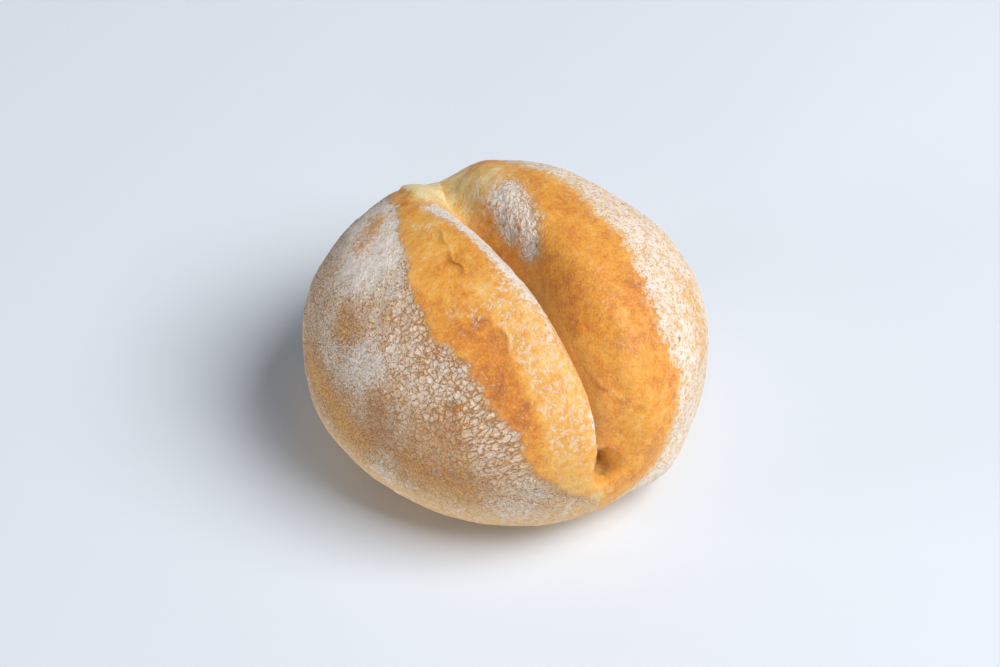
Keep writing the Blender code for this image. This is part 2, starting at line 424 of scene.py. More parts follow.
# The undercoat between the plates, and their cracks: brown crust, darkened further as painted
# shade.
FILM_BY_FLOUR = (0.05, 0.60, 0.0, 0.76)
CRACK_EDGE = (0.42, 0.08)
CRACK_DARKNESS = 0.90
# Whiteness of the flour, and the dark specks.
WHITE_BY_FLOUR = (0.35, 0.95)
WHITE_BY_SPECKLE = 0.9
SPECK_BY_SPECKLE = (0.0, -0.28, 0.0, 0.42)
CRUST_ROUGHNESS = (0.3, 0.7, 0.42, 0.58)
FLOUR_ROUGHNESS = 0.88
CRUST_SHINE = 0.30
# Height in mm that each pattern adds to the bump.
BUMP_BY_COVER = 0.08
BUMP_BY_SPECKLE = 0.18
BUMP_BY_NOISE = 0.16
BUMP_BY_PLATES = 0.42

# The flat map: radius of the disc, middle of the base's own map in a corner, that map's
# scale, and the height in metres up to which the skin is base.
DISC_RADIUS = 0.495
CORNER_MIDDLE = 0.935
CORNER_SCALE = 1.6
BASE_TOP = 1.0e-5


def station_values(turn, column):
    """One column of the crease stations at a turn, as a smooth curve."""
    turns = np.array([row[0] for row in CREASE_STATIONS])
    values = np.array([row[column] for row in CREASE_STATIONS])
    slopes = np.gradient(values, turns)
    at = np.clip(turn, turns[0], turns[-1])
    i = np.clip(np.searchsorted(turns, at, side="right") - 1, 0, len(turns) - 2)
    span = turns[i + 1] - turns[i]
    t = (at - turns[i]) / span
    start = values[i] * (1.0 + 2.0 * t) * (1.0 - t) ** 2 + slopes[i] * span * t * (1.0 - t) ** 2
    end = values[i + 1] * t * t * (3.0 - 2.0 * t) + slopes[i + 1] * span * t * t * (t - 1.0)
    return start + end


def floor_across(turn):
    """Across position of the crease's floor at a turn."""
    return station_values(turn, 1)


def plan_radius(angle):
    """Distance from the upright axis to the widest outline."""
    power = PLAN_SQUARENESS
    along_x = np.abs(np.cos(angle) / HALF_WIDTH) ** power
    along_y = np.abs(np.sin(angle) / HALF_LENGTH) ** power
    wave = 1.0
    for order, share, direction_deg in PLAN_WAVES:
        wave = wave + share * np.cos(order * (angle - math.radians(direction_deg)))
    return (along_x + along_y) ** (-1.0 / power) * wave


def dough_ball(nx, ny, nz):
    """Surface of the ball before it is creased, for a unit direction."""
    angle = np.arctan2(ny, nx)
    out = np.hypot(nx, ny)
    up = np.abs(nz)
    upper = nz >= 0.0
    fullness = np.where(upper, UPPER_FULLNESS, LOWER_FULLNESS)
    reach = out ** (2.0 / fullness)
    rise = up ** (2.0 / fullness)
    z_upper = WIDEST_AT + (HEIGHT - WIDEST_AT) * rise
    z_lower = WIDEST_AT - (WIDEST_AT + BASE_SINK) * rise
    radius = plan_radius(angle) * reach
    return radius * np.cos(angle), radius * np.sin(angle), np.where(upper, z_upper, z_lower)


def direction(turn, side):
    """Unit direction of a turn and a side, both in degrees."""
    turn = np.radians(turn)
    side = np.radians(side)
    return np.sin(side), np.cos(side) * np.sin(turn), np.cos(side) * np.cos(turn)


def turn_of(y, z):
    """Turn of a point, in degrees from -180 to 180."""
    return np.degrees(np.arctan2(y, z - WIDEST_AT))


def soft_fall(u):
    """Share of the depth on a soft slope, from 1 at the floor to 0 on the lobe."""
    return (1.0 - u) ** 2 * (1.0 + 2.0 * u)


def lip_fall(u, fullness, touch):
    """Share of the depth on a full lip, from 1 at the floor to 0 on the lobe."""
    floor = touch / (1.0 + touch)
    v = np.clip((u + touch) / (1.0 + touch), 0.0, 1.0)
    deepest = 1.0 - (1.0 - (1.0 - floor) ** fullness) ** (1.0 / fullness)
    return (1.0 - (1.0 - (1.0 - v) ** fullness) ** (1.0 / fullness)) / deepest


def creased(x, y, z):
    """Let the two lobes fall into the crease over rounded lips."""
    turn = turn_of(y, z)
    offset = x - floor_across(turn)
    near = offset < 0.0
    width = np.where(near, station_values(turn, 3), station_values(turn, 4))
    softness = np.where(near, station_values(turn, 5), station_values(turn, 6))
    u = np.clip(np.abs(offset) / width, 0.0, 1.0)
    lip = np.where(near, lip_fall(u, *NEAR_LIP), lip_fall(u, *FAR_LIP))
    share = lip + softness * (soft_fall(u) - lip)
    fall = np.maximum(station_values(turn, 2), 0.0) * share
    reach = np.hypot(y, z - WIDEST_AT)
    keep = 1.0 - fall / np.maximum(reach, 1.0e-6)
    return x, y * keep, WIDEST_AT + (z - WIDEST_AT) * keep


def swollen(x, y, z, ball):
    """Push the skin out at the swells and in at the hollows."""
    reach = np.sqrt(x * x + y * y + (z - WIDEST_AT) ** 2)
    push = 0.0
    for turn, side, radius, height in SWELLS:
        cx, cy, cz = dough_ball(*direction(turn, side))
        gap = (ball[0] - cx) ** 2 + (ball[1] - cy) ** 2 + (ball[2] - cz) ** 2
        push = push + height * np.clip(1.0 - gap / radius ** 2, 0.0, 1.0) ** 2
    keep = 1.0 + push / np.maximum(reach, 1.0e-6)
    return x * keep, y * keep, WIDEST_AT + (z - WIDEST_AT) * keep


def surface(nx, ny, nz):
    """Skin of the roll for a unit direction."""
    ball = dough_ball(nx, ny, nz)
    x, y, z = creased(*ball)
    x, y, z = swollen(x, y, z, ball)
    return x, y, np.maximum(z, 0.0)


# -------------------- dense mesh

def meridian(turn):
    """Fine line of points from the -X flank to the +X flank."""
    side = np.linspace(-90.0, 90.0, LINE_STEPS + 1)
    return np.stack(surface(*direction(turn, side)), axis=1)


def crowded(rows):
    """Fractions from 0 to 1, closer together towards 1."""
    return 1.0 - (1.0 - np.arange(rows + 1) / rows) ** CREASE_CROWDING


def resampled(line, fractions):
    """Points at fractions of a line's length."""
    steps = np.linalg.norm(np.diff(line, axis=0), axis=1)
    length = np.concatenate(([0.0], np.cumsum(steps)))
    at = fractions * length[-1]
    return np.stack([np.interp(at, length, line[:, k]) for k in range(3)], axis=1)


def row_points(turn):
    """Rows of one meridian, with one row pinned to the floor of the crease."""
    line = meridian(turn)
    floor_x = floor_across(turn_of(line[:, 1], line[:, 2]))
    floor = int(np.argmin(np.abs(line[:, 0] - floor_x)))
    near = resampled(line[:floor + 1], crowded(NEAR_ROWS))
    far = resampled(line[floor:][::-1], crowded(FAR_ROWS))[::-1]
    return np.concatenate((near, far[1:]))


def meridian_turns():
    """Turns of the meridians, once round the roll."""
    fine = np.linspace(-FINE_TURN, FINE_TURN, FINE_MERIDIANS)
    coarse = np.linspace(FINE_TURN, 360.0 - FINE_TURN, COARSE_MERIDIANS + 2)[1:-1]
    return np.concatenate((fine, coarse))


def skin_grid():
    """Points of the closed skin and its faces: two poles, then rows by meridian."""
    columns = np.array([row_points(turn) for turn in meridian_turns()])
    count, rows = columns.shape[0], columns.shape[1] - 2
    points = np.concatenate((columns[0, :1], columns[0, -1:], columns[:, 1:-1].reshape(-1, 3)))
    index = 2 + np.arange(count * rows).reshape(count, rows)
    after = np.roll(index, -1, axis=0)
    quads = np.stack((index[:, :-1], after[:, :-1], after[:, 1:], index[:, 1:]), axis=-1)
    faces = [tuple(face) for face in quads.reshape(-1, 4).tolist()]
    faces += [(0, int(after[i, 0]), int(index[i, 0])) for i in range(count)]
    faces += [(1, int(index[i, -1]), int(after[i, -1])) for i in range(count)]
    return points, faces


# -------------------- masks

def ease(value, low, high):
    """Smooth step from 0 at low to 1 at high."""
    t = np.clip((value - low) / (high - low), 0.0, 1.0)
    return t * t * (3.0 - 2.0 * t)


def window(value, rise, fall):
    """Smooth step up over one span, and down again over another."""
    return ease(value, *rise) * (1.0 - ease(value, *fall))


def along_table(rows, turn):
    """Second column of a table at a turn, straight between its rows."""
    turns = [row[0] for row in rows]
    values = [row[1] for row in rows]
    return np.interp(turn, turns, values)


def line_gap(mm, line):
    """Distance in mm from a line, how far along it from 0 to 1, and on which hand: 1 on
    the left of one who walks along it on the skin."""
    best = np.full(len(mm), 1.0e9)
    share = np.zeros(len(mm))
    hand = np.ones(len(mm))
    count = len(line) - 1
    for k in range(count):
        a, b = np.array(line[k]), np.array(line[k + 1])
        along = b - a
        left = np.cross(a - np.array((0.0, 0.0, WIDEST_AT / MM)), along)
        t = np.clip((mm - a) @ along / (along @ along), 0.0, 1.0)
        gap = np.linalg.norm(mm - a - t[:, None] * along, axis=1)
        closer = gap < best
        best = np.where(closer, gap, best)
        share = np.where(closer, (k + t) / count, share)
        hand = np.where(closer, np.sign((mm - a) @ left), hand)
    return best, share, hand


def spot(mm, radius, *line):
    """1 at a point or along a line in mm, easing to 0 at a radius in mm."""
    if len(line) == 1:
        gap = np.linalg.norm(mm - np.array(line[0]), axis=1)
    else:
        gap = line_gap(mm, line)[0]
    return 1.0 - ease(gap, 0.0, radius)


class Skin:
    """Places on the undetailed skin, and measures taken from them."""

    def __init__(self, points):
        self.mm = points / MM
        x, y, z = points.T
        self.z = self.mm[:, 2]
        self.turn = turn_of(y, z)
        self.side = np.degrees(np.arctan2(x, np.hypot(y, z - WIDEST_AT)))
        self.offset = self.mm[:, 0] - floor_across(self.turn) / MM
        self.near = self.offset < 0.0
        reach = np.linalg.norm(points - np.array((0.0, 0.0, WIDEST_AT)), axis=1) / MM
        self.mm_per_degree = reach * math.pi / 180.0

    def bare(self):
        """Distance in mm inside the bare stripe, negative out in the flour."""
        near = self.side - along_table(NEAR_STRIPE_EDGE, self.turn)
        far = along_table(FAR_STRIPE_EDGE, self.turn) - self.side
        waver = 0.0
        for per_degree, phase, reach in EDGE_WAVES:
            waver = waver + reach * np.sin(per_degree * self.turn + phase)
        return np.where(self.near, near, far) * self.mm_per_degree + waver

    def lip(self):
        """Distance in mm across from the near lobe's lip, positive over the crease."""
        return self.mm[:, 0] - along_table(NEAR_LIP_LINE, self.turn)

    def band(self):
        """1 on the lightly dusted band of the near lobe beside the crease."""
        beside = self.near * ease(self.side, *BAND_SIDES)
        return beside * (1.0 - ease(self.turn, *BAND_END_TURNS))


def mixed(masks, name, amount, value):
    """Move a mask towards a value by an amount that varies over the skin."""
    masks[name] = masks[name] + np.clip(amount, 0.0, 1.0) * (value - masks[name])


def laid(masks, mm, places, rows):
    """Lay rows of spots on the masks, one after the other."""
    for name, where, strength, value, radius, line in rows:
        mixed(masks, name, places[where] * strength * spot(mm, radius, *line), value)


def settled(masks, name, skin, where, low):
    """Move a mask towards the value that it has low on the roll."""
    bottom, top, value = low
    mixed(masks, name, where * (1.0 - ease(skin.z, bottom, top)), value)


def lobes(skin, out):
    """Where a spot counts: on a lobe, on its floury flank only, or on both lobes."""
    return {"near": skin.near, "far": ~skin.near, "near_flank": skin.near * out, "both": 1.0}


def flour_masks(masks, skin, bare, lip):
    """How much flour lies where, how far it has crackled, and how coarse its plates are."""
    near, mm = skin.near, skin.mm
    end_blur = NEAR_END_BLUR * (1.0 - ease(skin.turn, *NEAR_END_TURNS))
    blur = np.where(near, NEAR_BLUR + end_blur, FAR_BLUR)
    out = ease(-bare / blur, -1.0, 1.0)
    masks["flour"] = np.where(near, *BARE_FLOUR) + out * np.where(near, *FLANK_FLOUR)
    masks["crackle"] = ease(-bare, *CRACKLE_EDGE) * np.where(near, *FLANK_CRACKLE)
    coarse = spot(mm, COARSE_RADIUS, *COARSE_LINE)
    masks["coarse"] = LEAST_COARSE + (1.0 - LEAST_COARSE) * coarse
    places = lobes(skin, out)
    laid(masks, mm, places, NEAR_FLOUR_SPOTS)
    settled(masks, "flour", skin, near, LOW_NEAR_FLOUR)
    laid(masks, mm, places, LOW_FLOUR_SPOTS)
    settled(masks, "crackle", skin, near, LOW_NEAR_CRACKLE)
    lip_flour(masks, skin, lip)
    laid(masks, mm, places, CREASE_FLOUR_SPOTS)
    patch_flour(masks, skin)
    laid(masks, mm, places, FAR_FLOUR_SPOTS)
    settled(masks, "flour", skin, 1.0, LOWEST_FLOUR)


def lip_flour(masks, skin, lip):
    """A light dusting on the near lobe beside the crease, thick on its very lip."""
    mixed(masks, "flour", skin.band() * ease(skin.turn, *BAND_FLOUR_TURNS), BAND_FLOUR)
    thick = skin.near * ease(lip, *LIP_ACROSS)
    thick = LIP_STRENGTH * thick * window(skin.turn, LIP_START_TURNS, LIP_END_TURNS)
    mixed(masks, "flour", thick, LIP_FLOUR)
    mixed(masks, "crackle", thick, LIP_CRACKLE)


def patch_flour(masks, skin):
    """The floury patch on the far lobe's inner wall."""
    parts = [~skin.near * spot(skin.mm, radius, *line) for radius, line in PATCH_PARTS]
    patch = np.maximum(*parts)
    for name, strength, value in PATCH_MASKS:
        mixed(masks, name, patch * strength, value)


def bake_masks(masks, skin, bare):
    """How far the crust is baked: 0 pale dough, 0.3 golden, 0.55 orange, 0.8 brown."""
    near, far, mm = skin.near, ~skin.near, skin.mm
    masks["bake"] = np.full(len(mm), STRIPE_BAKE)
    out = ease(-bare, *BAKE_EDGE)
    places = lobes(skin, out)
    mixed(masks, "bake", out * near, NEAR_FLANK_BAKE)
    mixed(masks, "bake", out * far, FAR_FLANK_BAKE)
    laid(masks, mm, places, BAKE_SPOTS)
    mixed(masks, "bake", BAND_BAKE_STRENGTH * skin.band(), BAND_BAKE)
    settled(masks, "bake", skin, near, LOW_NEAR_BAKE)
    settled(masks, "bake", skin, far, LOW_FAR_BAKE)
    laid(masks, mm, places, LAST_BAKE_SPOTS)
    mixed(masks, "bake", PIT_BAKE_STRENGTH * pit_share(mm), PIT_BAKE)


def pale_dough(masks, skin, lip):
    """Pale dough where the lobes part late: the saddle and the far part of the crease."""
    turn = skin.turn
    width = PALE_WIDTH + PALE_WIDENING * ease(turn, *PALE_WIDENING_TURNS)
    gap = np.abs(skin.offset - np.where(skin.near, 0.0, PALE_FAR_SHIFT))
    inside = 1.0 - ease(gap, PALE_FADE[0] * width, PALE_FADE[1] * width)
    mixed(masks, "bake", inside * window(turn, PALE_START_TURNS, PALE_END_TURNS), PALE_BAKE)
    saddle = ease(lip, *SADDLE_ACROSS) * skin.near * ease(turn, *SADDLE_START_TURNS)
    mixed(masks, "bake", saddle * (1.0 - ease(turn, *SADDLE_END_TURNS)), SADDLE_BAKE)
    clean = np.maximum(saddle, inside * ease(turn, *PALE_FLOUR_TURNS))
    mixed(masks, "flour", clean, SADDLE_FLOUR)


def wavering(mm):
    """Places moved a little to and fro, so that lines drawn on them are not straight."""
    x, y, z = mm.T
    sway = (np.sin(1.1 * y + 0.4 * z), np.sin(1.3 * z + 0.7 * x), np.sin(0.9 * x + 0.8 * y))
    return mm + FOLD_SWAY * np.stack(sway, axis=1)


def fold_fade(share):
    """1 in the middle of a fold's line, easing to 0 at its two ends."""
    return np.clip(4.0 * share * (1.0 - share), 0.0, 1.0)


def fold_push(skin, lip):
    """Height of the small folds and of the step at the lip, in mm."""
    push = np.zeros(len(skin.mm))
    for line, depth, flap in FOLDS:
        gap, share, hand = line_gap(wavering(skin.mm), line)
        fade = fold_fade(share) ** 0.5
        push -= depth * fade * np.exp(-(gap / GROOVE_WIDTH) ** 2)
        rise = np.exp(-(gap / FLAP_WIDTH) ** 2) * ease(hand * gap, 0.0, FLAP_RISE)
        push += flap * fade * rise
    step = window(lip, STEP_START, STEP_END) * window(skin.turn, STEP_START_TURNS, STEP_END_TURNS)
    return push - STEP_DROP * step


def fold_shade_mask(skin):
    """Painted shade down in the folds, darker for deeper folds."""
    dark = np.zeros(len(skin.mm))
    for line, depth, _ in FOLDS:
        gap, share, _ = line_gap(wavering(skin.mm), line)
        deep = FOLD_SHADE * depth * fold_fade(share) * (1.0 - ease(gap, *FOLD_FADE))
        dark = np.maximum(dark, deep)
    return dark


def pit_share(mm):
    """1 in the middle of the pit, 0 outside it."""
    ray = mm - np.array(PIT_MIDDLE)
    across = ray @ np.array(PIT_ACROSS)
    upright = ray @ np.array(PIT_UP)
    left, right, tall = PIT_REACH
    out = np.hypot(across / np.where(across < 0.0, left, right), upright / tall)
    to_right = ease(across, *PIT_LEFT_TO_RIGHT)
    rim = PIT_RIM * (1.0 - to_right)
    power = PIT_POWER - PIT_POWER_LOSS * to_right
    share = 1.0 - np.clip((out - rim) / (1.0 - rim), 0.0, 1.0) ** power
    return np.where(mm[:, 1] < PIT_MOST_Y, ease(share, 0.0, 1.0), 0.0)


def painted_shade_mask(skin):
    """Painted shade: deeper colour in the pit and on the far lobe's inner wall beside the crease.
    """
    across = (skin.mm - np.array(PIT_MIDDLE)) @ np.array(PIT_ACROSS)
    strength = PIT_SHADE - PIT_SHADE_LOSS * ease(across, *PIT_SHADE_ACROSS)
    wall = ~skin.near * (1.0 - ease(skin.offset, *WALL_ACROSS))
    wall = WALL_SHADE * wall * window(skin.turn, WALL_START_TURNS, WALL_END_TURNS)
    return np.maximum(pit_share(skin.mm) * strength, wall)


def skin_masks(skin):
    """Named masks of the skin, one number for each vertex."""
    bare, lip = skin.bare(), skin.lip()
    masks = {}
    flour_masks(masks, skin, bare, lip)
    bake_masks(masks, skin, bare)
    pale_dough(masks, skin, lip)
    masks["relief"] = ease(skin.z, *RELIEF_HEIGHTS) * ease(np.abs(skin.offset), *RELIEF_ACROSS)
    masks["push"] = fold_push(skin, lip) * ease(skin.z, *PUSH_HEIGHTS)
    masks["char"] = spot(skin.mm, CHAR_RADIUS, CHAR_PLACE)
    masks["fold_shade"] = fold_shade_mask(skin)
    masks["painted_shade"] = painted_shade_mask(skin)
    return masks


def stretched(mm):
    """Places in mm for the flour's plates, drawn out where the dough was dragged."""
    place = mm.copy()
    for centre, along, radius, pull in DRAWN_ZONES:
        along = np.array(along) / np.linalg.norm(along)
        ray = mm - np.array(centre)
        gap = np.linalg.norm(ray, axis=1)
        amount = pull * (1.0 - ease(gap, DRAWN_CORE * radius, radius))
        place -= (amount * (ray @ along))[:, None] * along
    return place


# -------------------- nodes

class Graph:
    """Short names for adding nodes; the same calls serve a material and geometry nodes."""

    def __init__(self, tree, geometry=False):
        self.tree = tree
        self.geometry = geometry

    def node(self, kind, *values, **settings):
        """A node with these settings, and with these values in its first inputs."""
        made = self.tree.nodes.new(kind)
        for key, value in settings.items():
            setattr(made, key, value)
        for value, socket in zip(values, made.inputs):
            self.put(value, socket)
        return made

    def put(self, value, socket):
        """Link a socket to an input, or set the input's own value."""
        if isinstance(value, bpy.types.NodeSocket):
            self.tree.links.new(value, socket)
        else:
            socket.default_value = value

    def mask(self, name, vector=False):
        """A mask of the mesh by its name."""
        if self.geometry:
            made = self.node("GeometryNodeInputNamedAttribute")
            made.data_type = "FLOAT_VECTOR" if vector else "FLOAT"
            made.inputs["Name"].default_value = name
            return made.outputs["Attribute"]
        made = self.node("ShaderNodeAttribute", attribute_name=name)
        return made.outputs["Vector" if vector else "Fac"]

    def math(self, operation, *values):
        """Two or more values, taken together from the left."""
        total = values[0]
        for value in values[1:]:
            total = self.node("ShaderNodeMath", total, value, operation=operation).outputs[0]
        return total

    def add(self, *values):
        return self.math("ADD", *values)

    def times(self, *values):
        return self.math("MULTIPLY", *values)

    def centred(self, noise, strength):
        """Noise around 0 instead of 0.5, times a strength."""
        return self.times(self.add(noise, -0.5), strength)

    def ease(self, value, low, high, start=0.0, end=1.0):
        """Smooth step of a value from start at low to end at high."""
        made = self.node("ShaderNodeMapRange", value, low, high, start, end,
                         interpolation_type="SMOOTHSTEP")
        return made.outputs[0]

    def blend(self, factor, a, b):
        """Number part way from a to b."""
        made = self.node("ShaderNodeMix", factor, data_type="FLOAT")
        self.put(a, made.inputs[2])
        self.put(b, made.inputs[3])
        return made.outputs[0]

    def tint(self, factor, a, b):
        """Colour part way from a to b."""
        made = self.node("ShaderNodeMix", factor, data_type="RGBA")
        self.put(a, made.inputs[6])
        self.put(b, made.inputs[7])
        return made.outputs[2]

    def vector(self, operation, a, b):
        return self.node("ShaderNodeVectorMath", a, b, operation=operation).outputs[0]

    def scaled(self, a, scale):
        """Vector a, times a number."""
        made = self.node("ShaderNodeVectorMath", a, operation="SCALE")
        self.put(scale, made.inputs["Scale"])
        return made.outputs[0]

    def noise(self, place, size, detail=2.0, roughness=0.5, output=0):
        """Cloudy noise with lumps of a size in mm; output 1 is a vector."""
        made = self.node("ShaderNodeTexNoise", place, noise_dimensions="3D")
        made.inputs["Scale"].default_value = 1.0 / size
        made.inputs["Detail"].default_value = detail
        made.inputs["Roughness"].default_value = roughness
        return made.outputs[output]

    def cells(self, place, size, feature="F1"):
        """Distance in cells of a size in mm: from their middles, or from their edges."""
        made = self.node("ShaderNodeTexVoronoi", place, voronoi_dimensions="3D",
                         feature=feature)
        made.inputs["Scale"].default_value = 1.0 / size
        return made.outputs["Distance"]

    def warped(self, place, size, reach):
        """A place pushed about by noise, so that look lose their regularity."""
        cloud = self.noise(place, size, 1.0, output=1)
        centred = self.vector("SUBTRACT", cloud, (0.5, 0.5, 0.5))
        return self.vector("ADD", place, self.scaled(centred, reach * 2.0))

    def ramp(self, value, stops):
        """Colour along a row of stops: place from 0 to 1, then colour."""
        made = self.node("ShaderNodeValToRGB", value)
        band = made.color_ramp
        while len(band.elements) < len(stops):
            band.elements.new(0.5)
        for element, (at, colour) in zip(band.elements, stops):
            element.position = at
            element.color = colour
        return made.outputs[0]


def plates_of(graph, place, size, crack):
    """Plates of one size: 0 on their edges, 1 further in than the cracks are wide."""
    return graph.ease(graph.cells(place, size, "DISTANCE_TO_EDGE"), 0.0, crack)


def flour_plates(graph):
    """Height from 0 in the cracks to 1 on the lumps of the crackled flour."""
    place = graph.mask("flake_mm", vector=True)
    cloud = graph.noise(place, *PATCHY_NOISE)
    wide_crack = graph.ease(cloud, *CRACK_CLOUD, *WIDE_CRACKS)
    middle_crack = graph.ease(cloud, *CRACK_CLOUD, *MIDDLE_CRACKS)
    bent = place
    for size, reach in WIDE_BENDS:
        bent = graph.warped(bent, size, reach)
    wide = plates_of(graph, bent, PLATE_SIZES[0], wide_crack)
    middle = plates_of(graph, graph.warped(place, *MIDDLE_BEND), PLATE_SIZES[1], middle_crack)
    fine = plates_of(graph, graph.warped(place, *FINE_BEND), PLATE_SIZES[2], FINE_CRACK)
    broken = graph.times(graph.blend(MIDDLE_DEPTH, 1.0, middle),
                         graph.blend(FINE_DEPTH, 1.0, fine))
    plain = graph.times(graph.blend(WIDE_DEPTH, 1.0, wide),
                        graph.blend(WIDE_BREAKING, 1.0, broken))
    return graph.blend(graph.mask("coarse"), broken, plain)


# -------------------- crust piece

def placed(name, data):
    """A new object in the scene."""
    made = bpy.data.objects.new(name, data)
    bpy.context.scene.collection.objects.link(made)
    return made


def new_material(name):
    """A material, and its shader."""
    material = bpy.data.materials.new(name)
    material.use_nodes = True
    return material, material.node_tree.nodes["Principled BSDF"]


def crust_mesh(points, faces, masks, places):
    """Mesh of the skin with its masks and its named places stored on it."""
    data = bpy.data.meshes.new("crust")
    data.from_pydata(points.tolist(), [], faces)
    data.update()
    for layers, kind, field in ((masks, "FLOAT", "value"), (places, "FLOAT_VECTOR", "vector")):
        for name, values in layers.items():
            layer = data.attributes.new(name, kind, "POINT")
            layer.data.foreach_set(field, np.asarray(values, np.float32).ravel())
    return data


def relief_height(graph):
    """How far the skin is raised along its normal, in mm."""
    place = graph.mask("rest_mm", vector=True)
    lumps = graph.centred(graph.noise(place, *LUMP_NOISE), LUMP_HEIGHT)
    small = graph.centred(graph.noise(place, *SMALL_LUMP_NOISE), SMALL_LUMP_HEIGHT)
    raised = graph.times(flour_plates(graph), graph.mask("crackle"), graph.mask("flour"))
    height = graph.add(lumps, small, graph.times(raised, PLATE_HEIGHT))
    return graph.add(graph.times(height, graph.mask("relief")), graph.mask("push"))


def relief_nodes():
    """Geometry nodes that raise and sink the skin along its normals."""
    tree = bpy.data.node_groups.new("crust_relief", "GeometryNodeTree")
    for way in ("INPUT", "OUTPUT"):
        tree.interface.new_socket("Geometry", in_out=way, socket_type="NodeSocketGeometry")
    graph = Graph(tree, geometry=True)
    start = graph.node("NodeGroupInput")
    end = graph.node("NodeGroupOutput")
    normal = graph.node("GeometryNodeInputNormal").outputs[0]
    push = graph.scaled(normal, graph.times(relief_height(graph), MM))
    move = graph.node("GeometryNodeSetPosition")
    graph.put(start.outputs[0], move.inputs["Geometry"])
    graph.put(push, move.inputs["Offset"])
    graph.put(move.outputs[0], end.inputs[0])
    return tree


def with_relief(roll):
    """Turn the relief into plain vertices."""
    modifier = roll.modifiers.new("relief", "NODES")
    modifier.node_group = relief_nodes()
    evaluated = roll.evaluated_get(bpy.context.evaluated_depsgraph_get())
    made = bpy.data.meshes.new_from_object(evaluated)
    roll.modifiers.clear()
    roll.data = made
    made.name = "crust"


def read_numbers(items, field, count, kind):
    """One field of a mesh's items as a flat array."""
    values = np.empty(count, kind)
    items.foreach_get(field, values)
    return values


def unwrap(data, centre):
    """Flat map of the skin: a disc seen from above, and the base in a corner."""
    points = read_numbers(data.vertices, "co", len(data.vertices) * 3, np.float32)
    points = points.reshape(-1, 3).astype(float)
    ray = points - np.array(centre)
    ray /= np.linalg.norm(ray, axis=1)[:, None]
    out = np.hypot(ray[:, 0], ray[:, 1])
    flat = ray[:, :2] / np.maximum(out, 1.0e-9)[:, None]
    spread = np.sqrt(np.clip(1.0 - ray[:, 2], 0.0, 2.0) / 2.0)
    base = points[:, 2] < BASE_TOP
    spread *= DISC_RADIUS / spread[~base].max()
    disc = 0.5 + flat * spread[:, None]
    corner = CORNER_MIDDLE + points[:, :2] * CORNER_SCALE
    corners = read_numbers(data.loops, "vertex_index", len(data.loops), np.int32)
    starts = read_numbers(data.polygons, "loop_start", len(data.polygons), np.int32)
    totals = read_numbers(data.polygons, "loop_total", len(data.polygons), np.int32)
    on_base = np.minimum.reduceat(base[corners].astype(int), starts) > 0
    uv = np.where(np.repeat(on_base, totals)[:, None], corner[corners], disc[corners])
    layer = data.uv_layers.new(name="OFBake")
    layer.data.foreach_set("uv", uv.astype(np.float32).ravel())


class Look:
    """The patterns that the crust's colour, roughness and bump share."""

    def __init__(self, graph):
        self.place = graph.mask("rest_mm", vector=True)
        self.crackle = graph.mask("crackle")
        self.plates = flour_plates(graph)
        self.cloud = graph.noise(self.place, *CLOUD_NOISE)
        self.blotch = graph.noise(self.place, *BLOTCH_NOISE)
        self.speckle = graph.add(graph.noise(self.place, *SPECKLE_NOISE), -0.5)


def baked_colour(graph, look):
    """Colour of the crust under the flour, with its mottling and pale dots."""
    bake = graph.add(graph.mask("bake"),
                     graph.centred(look.cloud, BAKE_BY_CLOUD),
                     graph.centred(look.blotch, BAKE_BY_BLOTCH),
                     graph.times(look.speckle, BAKE_BY_SPECKLE))
    dots = graph.cells(graph.warped(look.place, *DOT_BEND), DOT_SIZE)
    dots = graph.times(graph.ease(dots, *DOT_EDGE), graph.ease(look.blotch, *DOT_BY_BLOTCH))
    dots = graph.add(dots, graph.ease(look.speckle, *DOT_BY_SPECKLE))
    return graph.tint(dots, graph.ramp(bake, BAKE_COLOURS), DOT_COLOUR)


def flour_amount(graph, look):
    """How much flour lies at a place, clouded and blotched."""
    return graph.add(graph.mask("flour"),
                     graph.centred(look.cloud, FLOUR_BY_CLOUD),
                     graph.centred(look.blotch, FLOUR_BY_BLOTCH))


def flour_cover(graph, look, amount):
    """How far flour hides the crust: as lumps where it crackled, as loose dust elsewhere."""
    fine = graph.ease(graph.noise(look.place, *FINE_DUST_NOISE), *FINE_DUST_EDGE)
    wide = graph.ease(graph.noise(look.place, *WIDE_DUST_NOISE), *WIDE_DUST_EDGE)
    grain = graph.ease(graph.noise(look.place, *GRAIN_NOISE), *GRAIN_EDGE)
    loose = graph.blend(WIDE_DUST_SHARE, fine, wide)
    packed = graph.blend(GRAIN_SHARE, look.plates, grain)
    level = graph.add(graph.blend(look.crackle, loose, packed), amount, -1.0)
    full = graph.blend(look.crackle, *COVER_FULL)
    return graph.times(graph.ease(level, COVER_START, full), graph.ease(amount, *COVER_DENSITY))


